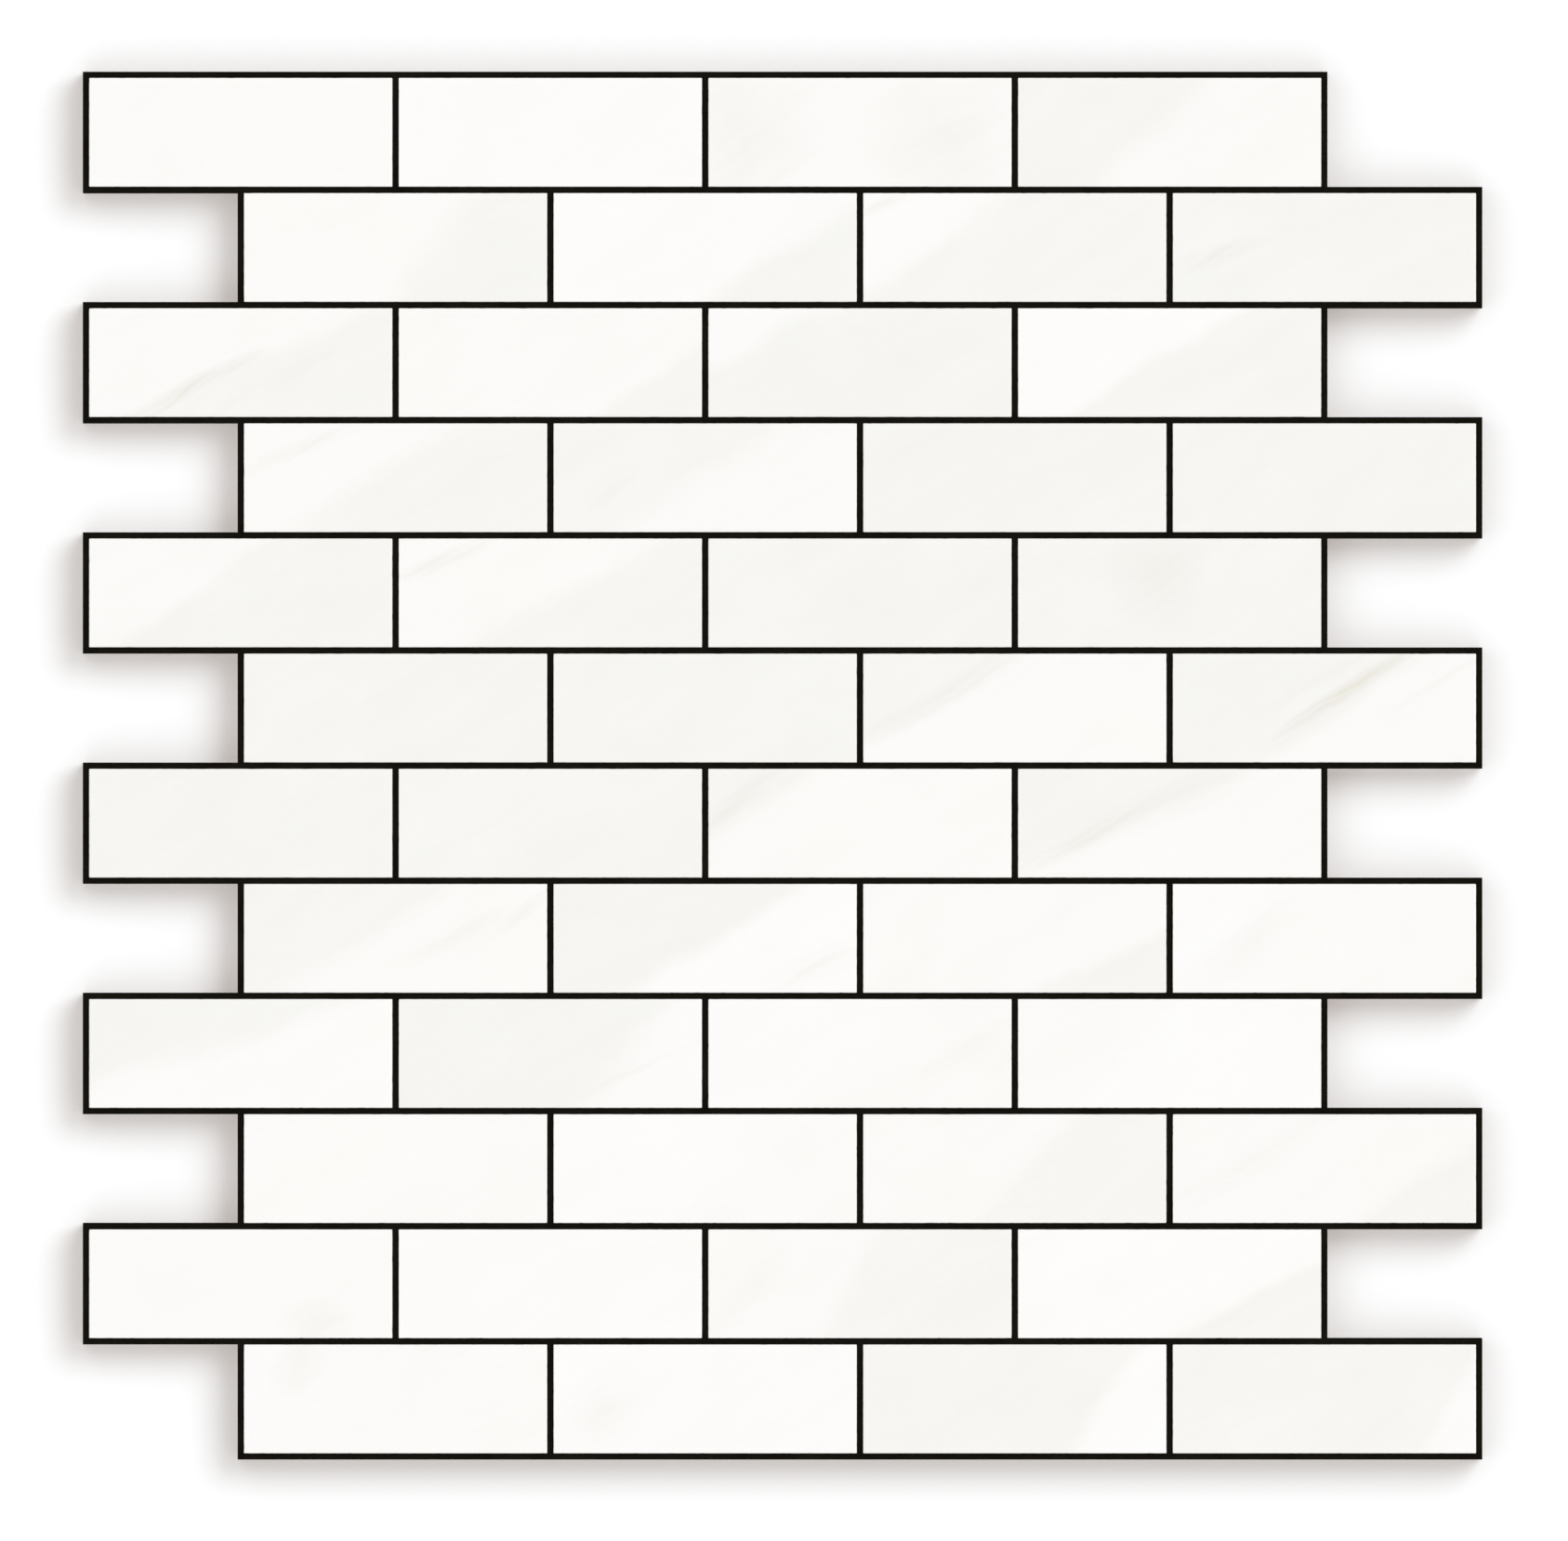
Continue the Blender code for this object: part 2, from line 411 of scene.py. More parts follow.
class AdhesiveSettings(bpy.types.PropertyGroup):
    """The dried adhesive on the chips' backs."""

    colour: colour_setting("Colour", "Colour of the dried adhesive", (0.64, 0.63, 0.585))
    roughness: share_setting("Roughness", "Roughness of the adhesive where it is smoothest", 0.35)
    inset: length_setting("Inset", "How far a pad stays inside its chip", 1.6 * MM)


def mesh_of(bm, name):
    """Turns a bmesh into a mesh and frees it."""
    mesh = bpy.data.meshes.new(name)
    bm.to_mesh(mesh)
    bm.free()
    return mesh


def finished(bm, name, material, replaced):
    """Makes an object of a bmesh and has it ride on the sheet in place of its solid."""
    mesh = mesh_of(bm, name)
    mesh.materials.append(material)
    piece = bpy.data.objects.new(name, mesh)
    bpy.context.collection.objects.link(piece)
    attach(piece, BODY)
    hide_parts(*replaced)
    return piece


def edges_along(edges, axis, shortest):
    """The edges that run along one axis and are longer than a given length."""
    found = []
    for edge in edges:
        run = edge.verts[1].co - edge.verts[0].co
        if run.length > shortest and abs(run[axis]) > PARALLEL * run.length:
            found.append(edge)
    return found


def split_along(bm, edges, axis, step):
    """Cuts the long edges along one axis into equal lengths near the step."""
    runs = edges_along(edges, axis, 2 * step)
    cuts = max(1, round(runs[0].calc_length() / step) - 1)
    return bmesh.ops.subdivide_edges(bm, edges=runs, cuts=cuts, use_grid_fill=True)


def bite_depth(point, deepest):
    """How deep a small bite goes at a point of an edge: mostly nothing, here and there a nick."""
    level = noise.noise(point * BITE_SCALE) + FINE_BITE_SHARE * noise.noise(point * FINE_BITE_SCALE)
    return deepest * min(1, max(0, level - BITE_LEVEL) * BITE_GROWTH + BITE_REST)


def chip_bmesh(low, high, look):
    """A sawn chip with eased and slightly nibbled upper edges."""
    bm = bmesh.new()
    place = Matrix.Translation((low + high) / 2) @ Matrix.Diagonal((*(high - low), 1))
    bmesh.ops.create_cube(bm, size=1, matrix=place)
    eased = [edge for edge in bm.edges if max(v.co.z for v in edge.verts) > high.z - look.eased_edge]
    bmesh.ops.bevel(
        bm, geom=eased, affect="EDGES", offset_type="OFFSET", offset=look.eased_edge,
        segments=3, profile=0.5, material=-1,
    )
    for axis in (0, 1):
        split_along(bm, bm.edges, axis, look.edge_step)
    bm.normal_update()
    for direction in (1, -1):
        flat = [face for face in bm.faces if face.normal.z * direction > PARALLEL]
        bmesh.ops.dissolve_faces(bm, faces=flat)
    for vert in bm.verts:
        if vert.co.z < high.z - 2 * look.eased_edge:
            continue
        sides = (
            (vert.co.x - low.x, Vector((1, 0, 0))), (high.x - vert.co.x, Vector((-1, 0, 0))),
            (vert.co.y - low.y, Vector((0, 1, 0))), (high.y - vert.co.y, Vector((0, -1, 0))),
        )
        inward = min(sides, key=lambda side: side[0])[1]
        bite = bite_depth(vert.co, look.nibble)
        on_top = vert.co.z > high.z - SLIVER
        vert.co += inward * bite - Vector((0, 0, 0 if on_top else BITE_FALL * bite))
    bm.normal_update()
    for face in bm.faces:
        face.smooth = abs(face.normal.z) < FLAT
    return bm


def run_of(mark):
    """The middle, the length and the lean of an edge or a vein, from its two ends."""
    start, end = (Vector(point) * MM for point in mark[:2])
    run = end - start
    return (start + end) / 2, run.length, math.atan2(run.y, run.x)


def marks_on(low, high, marks):
    """The edges or veins whose middle lies on a chip."""
    middles = [run_of(mark)[0] for mark in marks]
    return [m for m, at in zip(marks, middles) if low.x < at.x < high.x and low.y < at.y < high.y]


def grey_chance(x, y):
    """How likely a bed at a place of the sheet is grey, from 0 to 1."""
    lean = math.radians(BAND_LEAN)
    rise = (y / MM - BAND_PLACE[1]) * math.cos(lean) - (x / MM - BAND_PLACE[0]) * math.sin(lean)
    return min(1, max(0, (BAND_END - abs(rise)) / (BAND_END - BAND_CORE)))


def beds_of(low, high, draw):
    """Where the two beds of a chip meet, how their edge leans, and the stones above and below it."""
    middle = (low.xy + high.xy) / 2
    share, stray = draw.uniform(*MEETING_RANGE), draw.uniform(*LEAN_RANGE)
    chance = grey_chance(*middle)
    drawn = [GREY if draw.random() < chance else draw.choice(LIGHT_STONES) for _ in range(2)]
    for mark in marks_on(low, high, BED_EDGES):
        at, _, lean = run_of(mark)
        return at, lean, mark[2:]
    return Vector((low.x + share * (high.x - low.x), middle.y)), math.radians(BEDDING_ANGLE + stray), drawn


def mark_grain(bm, low, high, number, blend):
    """Stores on a chip how its two beds meet, and its veins and clouds."""
    draw = random.Random(number)
    at, lean, stones = beds_of(low, high, draw)
    above, below = (stone + draw.uniform(*TONE_RANGE) for stone in stones)
    stored = {
        "bed_meeting": (at.x, at.y, blend * draw.uniform(*BLEND_RANGE)),
        "bed_fall": (math.sin(lean), -math.cos(lean), 0),
        "bed_tones": (above, below, number),
    }
    for slot, vein in enumerate(marks_on(low, high, VEINS)):
        at, length, lean = run_of(vein)
        width, strength = vein[2:]
        stored[f"vein_place_{slot}"] = (at.x, at.y, 0)
        stored[f"vein_turn_{slot}"] = (0, 0, lean)
        stored[f"vein_reach_{slot}"] = (FADE_ALONG * length / 2, FADE_ACROSS * width / 2 * MM, strength)
    for name, value in stored.items():
        layer = bm.verts.layers.float_vector.new(name)
        for vert in bm.verts:
            vert[layer] = value


def marble_material(look):
    """White marble: pale and grey beds, clouds and veins that rise to the right, honed and dry."""
    material = bpy.data.materials.new("honed_white_marble")
    nodes = Nodes(material)
    angle = math.radians(BEDDING_ANGLE)
    place = nodes.add("TexCoord", output="Object")
    meeting, fall, tones = (nodes.attribute(f"bed_{part}") for part in ("meeting", "fall", "tones"))
    above, below, number = nodes.parts(tones)
    blend = nodes.parts(meeting)[2]

    # The patterns are read at a place that is shaken, so that every edge and vein wanders a little
    bent = nodes.shaken(nodes.shaken(place, WIDE_SWAY, BED_REACH), SMALL_SWAY, SMALL_REACH)
    bed_x, bed_y, _ = nodes.parts(bent)
    near_meeting = nodes.add("CombineXYZ", {0: bed_x, 1: bed_y, 2: 0})
    bent = nodes.shaken(nodes.shaken(place, WIDE_SWAY, VEIN_REACH), SMALL_SWAY, SMALL_REACH)
    vein_x, vein_y, _ = nodes.parts(bent)
    near_vein = nodes.add("CombineXYZ", {0: vein_x, 1: vein_y, 2: 0})

    from_meeting = nodes.add("VectorMath", {0: near_meeting, 1: meeting}, operation="SUBTRACT")
    beneath = nodes.add("VectorMath", {0: from_meeting, 1: fall}, output="Value", operation="DOT_PRODUCT")
    side = nodes.add(
        "MapRange", {"Value": beneath, "From Min": blend * -1, "From Max": blend},
        interpolation_type="SMOOTHSTEP",
    )
    tone = above + (below - above) * side

    # The chip's number sets its grain apart from its neighbours'
    grain_place = nodes.add("CombineXYZ", {0: bed_x, 1: bed_y, 2: number})
    patches = nodes.stretched(grain_place, angle, (*PATCH_SIZE, PATTERN_DEPTH), detail=3.0)
    lines = nodes.stretched(grain_place, angle, (*LINE_SIZE, PATTERN_DEPTH), detail=4.0)
    tone = tone + (patches - 0.5) * look.mottling + (lines - 0.5) * look.streaking

    # Each slot holds one vein of each chip: how far it reaches along and across, and the tone that it
    # adds. The fine lines part it into strands, the more so the narrower it is.
    most = max(len(marks_on(low, high, VEINS)) for low, high in CHIPS.values())
    for slot in range(most):
        centre, turn, reach = (nodes.attribute(f"vein_{part}_{slot}") for part in ("place", "turn", "reach"))
        local = nodes.add(
            "Mapping", {"Vector": near_vein, "Location": centre, "Rotation": turn, "Scale": reach},
            vector_type="TEXTURE",
        )
        spot = nodes.add("TexGradient", {"Vector": local}, output="Fac", gradient_type="SPHERICAL")
        _, width, strength = nodes.parts(reach)
        strands = (lines - 0.5) * look.parting / width + 1
        tone = tone + spot * strands * strength

    whitest, span = COLOUR_TONES[0], COLOUR_TONES[-1] - COLOUR_TONES[0]
    colours = (look.whitest, look.pale, look.grey, look.deep, look.vein)
    colour = nodes.add(
        "ValToRGB", {"Fac": (tone - whitest) / span}, output="Color",
        stops=[((value - whitest) / span, shade) for value, shade in zip(COLOUR_TONES, colours)],
    )
    warmth = nodes.add("TexNoise", {"Vector": grain_place, "Scale": 28.0, "Detail": 1.0})
    tint = nodes.add(
        "ValToRGB", {"Fac": warmth}, output="Color",
        stops=[(COOL_LEVEL, COOL_TINT), (WARM_LEVEL, WARM_TINT)],
    )
    colour = nodes.add(
        "Mix", {"Factor": 1.0, "A": colour, "B": tint}, data_type="RGBA", blend_type="MULTIPLY"
    )
    crystals = nodes.add("TexNoise", {"Vector": place, "Scale": 2600.0, "Detail": 2.0})
    roughness = (crystals - 0.5) * CRYSTAL_SPREAD + look.roughness
    bump = nodes.add("Bump", {"Strength": 0.25, "Distance": 0.01 * MM, "Height": crystals})
    nodes.surface(nodes.add("BsdfPrincipled", {
        "Base Color": colour, "Roughness": roughness, "Normal": bump, "IOR": 1.49,
    }))
    return material


def row_outline(row):
    """Lowest and highest x and y of one row with the joints round it."""
    first, last = CHIP_ROWS[row][0][0], CHIP_ROWS[row][-1][1]
    return first.x - JOINT_WIDTH, last.x + JOINT_WIDTH, first.y - JOINT_WIDTH, last.y + JOINT_WIDTH


def on_sheet(x, y, margin=0.0):
    """True where the stepped outline of the sheet, less a margin, covers a point."""
    for row in range(len(CHIP_ROWS)):
        left, right, low, high = row_outline(row)
        if left + margin < x < right - margin and low + margin < y < high - margin:
            return True
    return False


def on_chip(x, y):
    """True where a chip covers a point."""
    return any(low.x < x < high.x and low.y < y < high.y for low, high in CHIPS.values())


def joint_sides(axis):
    """Every place along one axis where a joint has a side."""
    places = {corner[axis] for box in CHIPS.values() for corner in box}
    for row in range(len(CHIP_ROWS)):
        places.update(row_outline(row)[2 * axis:2 * axis + 2])
    return sorted({round(place, DECIMALS) for place in places})


def steps_between(places, step):
    """Equal steps within each gap of a row of places."""
    found = []
    for start, end in zip(places, places[1:]):
        count = round((end - start) / step)
        found += [start + (end - start) * k / count for k in range(1, count)]
    return found


def cut_across(bm, axis, places):
    """Cuts the whole mesh at each place along one axis."""
    direction = Vector((axis == 0, axis == 1, 0))
    for place in places:
        everything = bm.verts[:] + bm.edges[:] + bm.faces[:]
        bmesh.ops.bisect_plane(
            bm, geom=everything, plane_co=direction * place, plane_no=direction, dist=CUT_SNAP
        )


def new_verts(geometry):
    """The vertices that an operator made and kept, each once."""
    found = (item for item in geometry if item.is_valid and isinstance(item, bmesh.types.BMVert))
    return list(dict.fromkeys(found))


def lattice_bmesh(look):
    """The joints as one body: a stepped border and a lattice with a pocket for each chip."""
    bm = bmesh.new()
    middle, half = (FILLER_LOW + FILLER_HIGH) / 2, (FILLER_HIGH - FILLER_LOW) / 2
    top = FILLER_HIGH.z
    place = Matrix.Translation((middle.x, middle.y, top)) @ Matrix.Diagonal((half.x, half.y, 1, 1))
    bmesh.ops.create_grid(bm, x_segments=1, y_segments=1, size=1, matrix=place)
    for axis in (0, 1):
        cut_across(bm, axis, joint_sides(axis))
    centres = {face: face.calc_center_median() for face in bm.faces}
    gone = [face for face, c in centres.items() if on_chip(c.x, c.y) or not on_sheet(c.x, c.y)]
    bmesh.ops.delete(bm, geom=gone, context="FACES")
    for axis in (0, 1):
        cut_across(bm, axis, steps_between(joint_sides(axis), look.step))

    lowered = new_verts(bmesh.ops.extrude_face_region(bm, geom=bm.faces[:])["geom"])
    bmesh.ops.translate(bm, verts=lowered, vec=(0, 0, FILLER_LOW.z - top))
    bmesh.ops.recalc_face_normals(bm, faces=bm.faces)

    def on_outline(edge):
        """True where a step out from the walls beside an edge leaves the sheet."""
        centre = (edge.verts[0].co + edge.verts[1].co) / 2
        walls = [face.normal for face in edge.link_faces if abs(face.normal.z) < WALL]
        outside = centre + sum(walls, Vector()).normalized() * JOINT_WIDTH / 2
        return not on_sheet(outside.x, outside.y)

    risers = [edge for edge in edges_along(bm.edges, 2, look.step) if on_outline(edge)]
    divided = bmesh.ops.subdivide_edges(bm, edges=risers, cuts=WALL_CUTS, use_grid_fill=True)
    bm.normal_update()
    for vert in new_verts(divided["geom_inner"]):
        vert.co -= vert.normal * WALL_RIPPLE * (1 + noise.noise(vert.co * RIPPLE_SCALE))
    upper = [edge for edge in bm.edges if min(vert.co.z for vert in edge.verts) > top - SLIVER]
    bmesh.ops.bevel(
        bm, geom=[edge for edge in upper if on_outline(edge)], affect="EDGES", offset_type="OFFSET",
        offset=look.rounding, segments=2, profile=0.5, material=-1,
    )
    face_up = [
        face for face in bm.faces
        if face.normal.z > PARALLEL and face.calc_center_median().z > top - SLIVER
    ]
    bmesh.ops.inset_region(
        bm, faces=face_up, thickness=look.rim, depth=-look.channel, use_boundary=True, use_even_offset=True
    )
    for vert in bm.verts:
        if vert.co.z > top - 2 * look.channel:
            vert.co.z -= FLOOR_RIPPLE * (1 + noise.noise(vert.co * RIPPLE_SCALE))
    return bm


def filler_material(look):
    """Matte black joint filler with a fine gritty face."""
    material = bpy.data.materials.new("matte_black_filler")
    nodes = Nodes(material)
    place = nodes.add("TexCoord", output="Object")
    grit = nodes.add("TexNoise", {"Vector": place, "Scale": 3800.0, "Detail": 3.0, "Roughness": 0.6})
    dust = nodes.add("TexNoise", {"Vector": place, "Scale": 160.0, "Detail": 3.0})
    colour = nodes.add(
        "ValToRGB", {"Fac": dust * DUST_SHARE + grit * GRIT_SHARE}, output="Color",
        stops=[(BLACK_LEVEL, look.black), (WORN_LEVEL, look.worn)],
    )
    bump = nodes.add("Bump", {"Strength": 0.5, "Distance": 0.05 * MM, "Height": grit})
    nodes.surface(nodes.add("BsdfPrincipled", {
        "Base Color": colour, "Roughness": grit * GRIT_SPREAD + look.roughness, "Normal": bump,
        "Specular IOR Level": 0.08,
    }))
    return material


def rows_at(x, margin):
    """The runs of neighbouring rows that reach a place along X."""
    runs = []
    for row in range(len(CHIP_ROWS)):
        left, right = row_outline(row)[:2]
        if not left + margin < x < right - margin:
            continue
        if runs and runs[-1][-1] == row - 1:
            runs[-1].append(row)
        else:
            runs.append([row])
    return runs


def yarn_places(axis, pitch):
    """Where the yarns lie side by side along one axis, centred on the sheet."""
    low, high = BACKING_LOW[axis], BACKING_HIGH[axis]
    count = math.floor((high - low - pitch / 2) / pitch)
    return [(low + high) / 2 + (k - count / 2) * pitch for k in range(count + 1)]


def add_yarn(bm, axis, centre, length, width, look, shift):
    """Adds a flat yarn along one axis. The shift gives how far it moves at each point."""
    size = Vector((width, width, look.yarn_thickness))
    size[axis] = length
    yarn = bmesh.new()
    bmesh.ops.create_cube(yarn, size=1, matrix=Matrix.Translation(centre) @ Matrix.Diagonal((*size, 1)))
    split_along(yarn, yarn.edges, axis, look.pitch / 2)
    for vert in yarn.verts:
        vert.co += shift(vert.co)
    mesh = mesh_of(yarn, "yarn")
    bm.from_mesh(mesh)
    bpy.data.meshes.remove(mesh)


def weft_bmesh(look):
    """Single yarns along X, which pass over and under the paired ones."""
    bm = bmesh.new()
    first_warp = yarn_places(0, look.pitch)[0]
    wave = BACKING_HIGH.z / 2 - look.yarn_thickness / 2 - WEFT_ROOM
    for number, y in enumerate(yarn_places(1, look.pitch)):
        row = min(len(CHIP_ROWS) - 1, int((FILLER_HIGH.y - JOINT_WIDTH / 2 - y) / ROW_PITCH))
        left, right = row_outline(row)[:2]
        start, end = left + BACKING_MARGIN, right - BACKING_MARGIN

        def shift(point, number=number):
            phase = math.pi * ((point.x - first_warp) / look.pitch + number)
            sideways = WEFT_SWAY * noise.noise(point * WEFT_SWAY_SCALE)
            return Vector((0, sideways, wave * math.cos(phase)))

        centre = Vector(((start + end) / 2, y, BACKING_HIGH.z / 2))
        add_yarn(bm, 0, centre, end - start, look.weft_width, look, shift)
    return bm


def warp_bmesh(look):
    """Yarns along Y in pairs, which twist about each other between the single ones."""
    bm = bmesh.new()
    first_weft = yarn_places(1, look.pitch)[0]
    wave = BACKING_HIGH.z / 2 - look.yarn_thickness / 2 - WARP_ROOM
    for number, x in enumerate(yarn_places(0, look.pitch)):
        for rows in rows_at(x, BACKING_MARGIN):
            end = row_outline(rows[0])[3] - BACKING_MARGIN
            start = row_outline(rows[-1])[2] + BACKING_MARGIN
            for turn in (1, -1):

                def shift(point, number=number, turn=turn):
                    phase = math.pi * ((point.y - first_weft) / look.pitch)
                    sideways = turn * look.pair_offset * math.cos(phase)
                    upwards = -wave * math.cos(phase + math.pi * number) + turn * WARP_TWIST * math.sin(phase)
                    return Vector((sideways, 0, upwards))

                centre = Vector((x, (start + end) / 2, BACKING_HIGH.z / 2))
                add_yarn(bm, 1, centre, end - start, look.warp_width, look, shift)
    return bm


def yarn_material(name, look, angle):
    """Glass yarn with fine fibres along it."""
    material = bpy.data.materials.new(name)
    nodes = Nodes(material)
    place = nodes.add("TexCoord", output="Object")
    fibres = nodes.stretched(place, angle, FIBRE_SIZE)
    dark = tuple(DARK_FIBRE * channel for channel in look.yarn_colour)
    light = tuple(min(1, LIGHT_FIBRE * channel) for channel in look.yarn_colour)
    colour = nodes.add(
        "ValToRGB", {"Fac": fibres}, output="Color", stops=[(DARK_LEVEL, dark), (LIGHT_LEVEL, light)]
    )
    bump = nodes.add("Bump", {"Strength": 0.6, "Distance": 0.04 * MM, "Height": fibres})
    nodes.surface(nodes.add("BsdfPrincipled", {
        "Base Color": colour, "Roughness": fibres * FIBRE_SPREAD + look.roughness, "Normal": bump,
    }))
    return material


def glue_bmesh(look):
    """A thin uneven pad of dried adhesive on the back of each chip."""
    bm = bmesh.new()
    for low, high in CHIPS.values():
        middle, half = (low + high) / 2, (high - low) / 2
        reach = (half.x - look.inset, half.y - look.inset)
        centre = Matrix.Translation((middle.x, middle.y, BACKING_HIGH.z / 2))
        pad = bmesh.ops.create_grid(
            bm, x_segments=PAD_STEPS[0], y_segments=PAD_STEPS[1], size=1,
            matrix=centre @ Matrix.Diagonal((*reach, 1, 1)),
        )
        for vert in pad["verts"]:
            spread = noise.noise(vert.co * LUMP_SCALE)
            swell = noise.noise(vert.co * LUMP_SCALE + SWELL_SHIFT)
            fine = noise.noise(vert.co * FINE_LUMP_SCALE)
            rim = any(edge.is_boundary for edge in vert.link_edges)
            outwards = Vector(((vert.co.x - middle.x) / reach[0], (vert.co.y - middle.y) / reach[1], 0))
            vert.co += outwards * (RIM_WANDER * spread - RIM_INSIDE)
            vert.co.z += RIM_RISE if rim else LUMP_HEIGHT * swell + FINE_LUMP_HEIGHT * fine
    bmesh.ops.reverse_faces(bm, faces=bm.faces)
    raised = new_verts(bmesh.ops.extrude_face_region(bm, geom=bm.faces[:])["geom"])
    for vert in raised:
        vert.co.z = CHIP_BOTTOM
    bmesh.ops.recalc_face_normals(bm, faces=bm.faces)
    return bm


def glue_material(look):
    """Pale dried adhesive, uneven and slightly glossy."""
    material = bpy.data.materials.new("dried_adhesive")
    nodes = Nodes(material)
    place = nodes.add("TexCoord", output="Object")
    lumps = nodes.add("TexNoise", {"Vector": place, "Scale": 300.0, "Detail": 4.0})
    thin = tuple(THIN_GLUE * channel for channel in look.colour)
    colour = nodes.add(
        "ValToRGB", {"Fac": lumps}, output="Color",
        stops=[(THIN_LEVEL, thin), (THICK_LEVEL, look.colour)],
    )
    bump = nodes.add("Bump", {"Strength": 0.7, "Distance": 0.15 * MM, "Height": lumps})
    nodes.surface(nodes.add("BsdfPrincipled", {
        "Base Color": colour, "Roughness": lumps * LUMP_SPREAD + look.roughness, "Normal": bump,
    }))
    return material


def floor_material(look):
    """A floor that is white to the camera but for shadows, and lets all other light through."""
    material = bpy.data.materials.new("white_floor")
    nodes = Nodes(material)
    seen = nodes.add("LightPath", output="Is Camera Ray")
    behind = nodes.add("NewGeometry", output="Backfacing")
    plain = nodes.add("BsdfDiffuse", {"Color": (*look.floor_colour, 1)})
    glow = nodes.add("Emission", {"Color": (*look.floor_glow, 1)})
    shown = nodes.add("AddShader", {0: plain, 1: glow})
    clear = nodes.add("BsdfTransparent")
    nodes.surface(nodes.add("MixShader", {0: seen * (1 - behind), 1: clear, 2: shown}))
    return material


class MOSAIC_OT_stage(bpy.types.Operator):
    """Sets up the camera, the light and the floor"""

    bl_idname = "mosaic.stage"
    bl_label = "Stage"

    def execute(self, context):
        look, scene = context.scene.mosaic_stage, context.scene
        scene.view_settings.view_transform = "Standard"

        pixel = (FILLER_HIGH.x - FILLER_LOW.x) / (SHEET_RIGHT - SHEET_LEFT)
        camera = bpy.data.cameras.new("camera")
        camera.type, camera.lens = "PERSP", look.lens
        aim_x = (PICTURE_WIDTH - SHEET_LEFT - SHEET_RIGHT) / 2 * pixel
        aim_y = (SHEET_TOP + SHEET_BOTTOM - PICTURE_HEIGHT) / 2 * pixel
        height = CHIP_TOP + PICTURE_WIDTH * pixel * camera.lens / camera.sensor_width
        camera.clip_start, camera.clip_end = NEAREST, FARTHEST * height
        eye = bpy.data.objects.new("camera", camera)
        eye.location = (aim_x, aim_y, height)
        scene.collection.objects.link(eye)
        scene.camera = eye

        for name, share, tilt, size in (
            ("high_lamp", look.high_share, look.high_tilt, look.high_size),
            ("low_lamp", look.low_share, look.low_tilt, look.low_size),
        ):
            lamp = bpy.data.lights.new(name, "SUN")
            lamp.energy, lamp.angle = math.pi * share / math.cos(tilt), size
            sun = bpy.data.objects.new(name, lamp)
            sun.rotation_euler = (0, tilt, look.heading)
            # The white room gives the reflections, so that no lamp burns out a face at any angle
            sun.visible_glossy = False
            scene.collection.objects.link(sun)

        world = bpy.data.worlds.new("studio")
        scene.world = world
        nodes = Nodes(world)
        direction = nodes.add("TexCoord", output="Generated")
        upwards = nodes.add("SeparateXYZ", {0: direction}, output="Z")
        above = nodes.add("Math", {0: upwards, 1: 0}, operation="GREATER_THAN")
        evenly = above * (look.sky - look.bounce) + look.bounce
        rays = ("Camera", "Glossy", "Transmission")
        camera_ray, glossy, through = (nodes.add("LightPath", output=f"Is {ray} Ray") for ray in rays)
        seen = nodes.add("Math", {0: camera_ray + glossy, 1: through}, operation="MAXIMUM")
        light = nodes.add("Background", {"Color": (1, 1, 1, 1), "Strength": evenly + seen * (1 - evenly)})
        nodes.add("OutputWorld", {"Surface": light})

        bm = bmesh.new()
        bmesh.ops.create_grid(bm, x_segments=1, y_segments=1, size=look.floor_reach)
        bmesh.ops.translate(bm, verts=bm.verts, vec=(0, 0, -FLOOR_DROP))
        mesh = mesh_of(bm, "floor")
        mesh.materials.append(floor_material(look))
        floor = bpy.data.objects.new("floor", mesh)
        scene.collection.objects.link(floor)
        return {"FINISHED"}


class MOSAIC_OT_marble_chips(bpy.types.Operator):
    """Makes the 48 honed chips"""

    bl_idname = "mosaic.marble_chips"
    bl_label = "Marble chips"

    def execute(self, context):
        look = context.scene.mosaic_marble
        material = marble_material(look)
        for number, (node, (low, high)) in enumerate(CHIPS.items(), start=1):
            bm = chip_bmesh(low, high, look)
            mark_grain(bm, low, high, number, look.bed_blend)
            finished(bm, node.replace("marble", "honed"), material, [node])
        return {"FINISHED"}


class MOSAIC_OT_joint_filler(bpy.types.Operator):
    """Makes the lattice of black joints with its border"""

    bl_idname = "mosaic.joint_filler"
    bl_label = "Joint filler"

    def execute(self, context):
        look = context.scene.mosaic_filler
        bm, material = lattice_bmesh(look), filler_material(look)
        piece = finished(bm, "joint_lattice", material, ["joint_filler"])
        piece.data.shade_smooth()
        piece.data.set_sharp_from_angle(angle=SHARP_TURN)
        return {"FINISHED"}


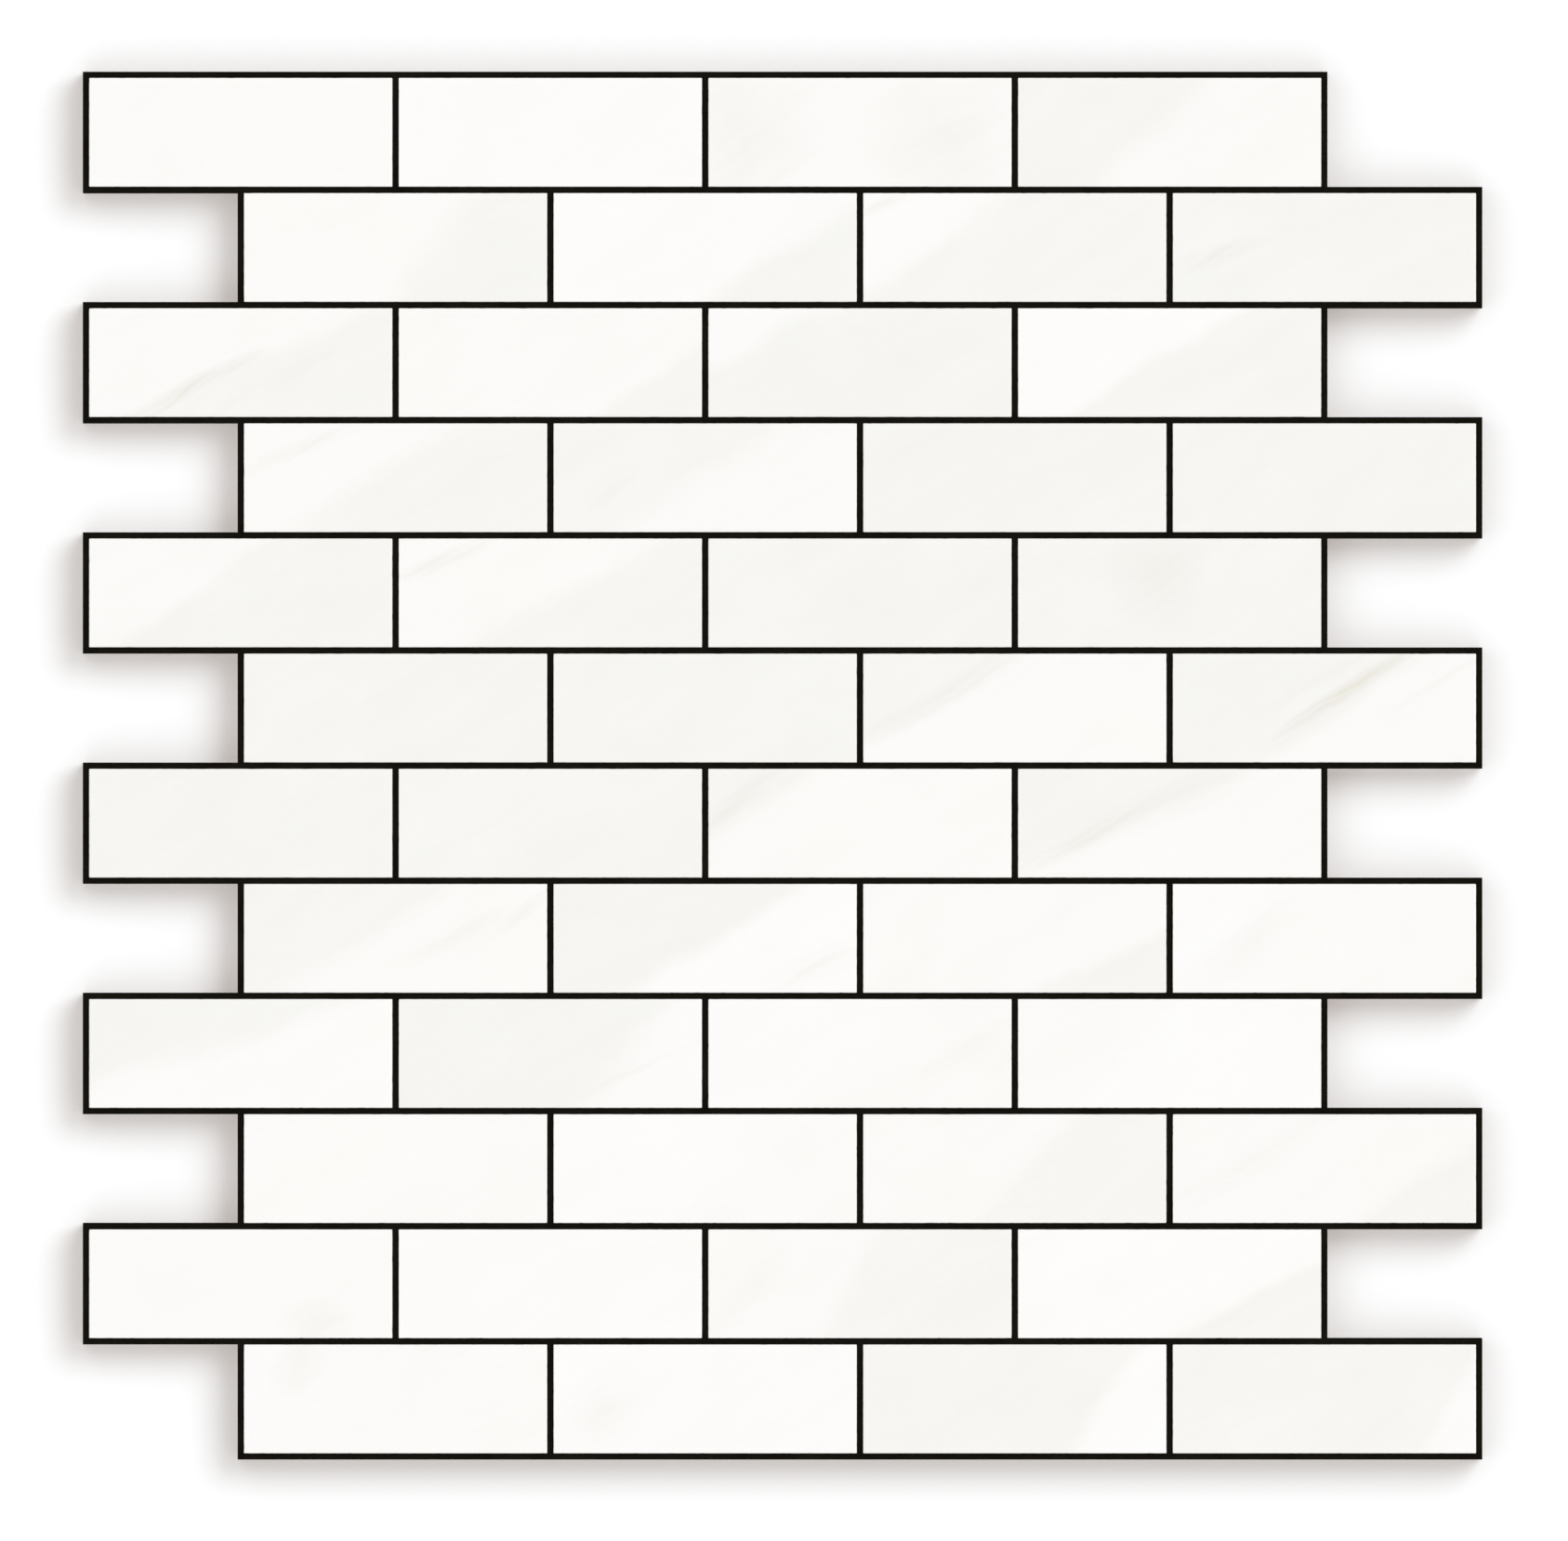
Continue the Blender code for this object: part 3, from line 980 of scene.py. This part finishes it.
class MOSAIC_OT_mesh_backing(bpy.types.Operator):
    """Makes the woven glass mesh under the chips"""

    bl_idname = "mosaic.mesh_backing"
    bl_label = "Mesh backing"

    def execute(self, context):
        look = context.scene.mosaic_backing
        along_x = yarn_material("weft_yarn", look, 0)
        along_y = yarn_material("warp_yarn", look, math.pi / 2)
        for bm, name, material in (
            (weft_bmesh(look), "mesh_weft", along_x),
            (warp_bmesh(look), "mesh_warp", along_y),
        ):
            piece = finished(bm, name, material, ["mesh_backing"])
            piece.data.shade_smooth()
        return {"FINISHED"}


class MOSAIC_OT_adhesive(bpy.types.Operator):
    """Makes the pads of dried adhesive between the mesh and the chips"""

    bl_idname = "mosaic.adhesive"
    bl_label = "Adhesive"

    def execute(self, context):
        look = context.scene.mosaic_adhesive
        bm, material = glue_bmesh(look), glue_material(look)
        piece = finished(bm, "mesh_adhesive", material, ["mesh_backing"])
        piece.data.shade_smooth()
        return {"FINISHED"}


class MOSAIC_PT_panel(bpy.types.Panel):
    """Lists the pieces of the sheet with their settings"""

    bl_idname = "MOSAIC_PT_panel"
    bl_label = "Marble mosaic sheet"
    bl_space_type = "VIEW_3D"
    bl_region_type = "UI"
    bl_category = "Mosaic"

    def draw(self, context):
        for operator, settings, _ in PIECES:
            box = self.layout.box()
            box.operator(operator.bl_idname)
            group = getattr(context.scene, settings)
            for name in group.__annotations__:
                box.prop(group, name)


# Each piece's operator, the name that its settings have in the scene, and the settings
PIECES = (
    (MOSAIC_OT_stage, "mosaic_stage", StageSettings),
    (MOSAIC_OT_marble_chips, "mosaic_marble", MarbleSettings),
    (MOSAIC_OT_joint_filler, "mosaic_filler", FillerSettings),
    (MOSAIC_OT_mesh_backing, "mosaic_backing", BackingSettings),
    (MOSAIC_OT_adhesive, "mosaic_adhesive", AdhesiveSettings),
)
CLASSES = (*(group for *_, group in PIECES), *(operator for operator, *_ in PIECES), MOSAIC_PT_panel)


def register():
    for cls in CLASSES:
        bpy.utils.register_class(cls)
    for _, name, group in PIECES:
        setattr(bpy.types.Scene, name, bpy.props.PointerProperty(type=group))


def unregister():
    for _, name, _ in PIECES:
        delattr(bpy.types.Scene, name)
    for cls in reversed(CLASSES):
        bpy.utils.unregister_class(cls)


def main():
    register()
    bpy.ops.mosaic.stage()
    bpy.ops.mosaic.marble_chips()
    bpy.ops.mosaic.joint_filler()
    bpy.ops.mosaic.mesh_backing()
    bpy.ops.mosaic.adhesive()


if __name__ == "__main__":
    main()
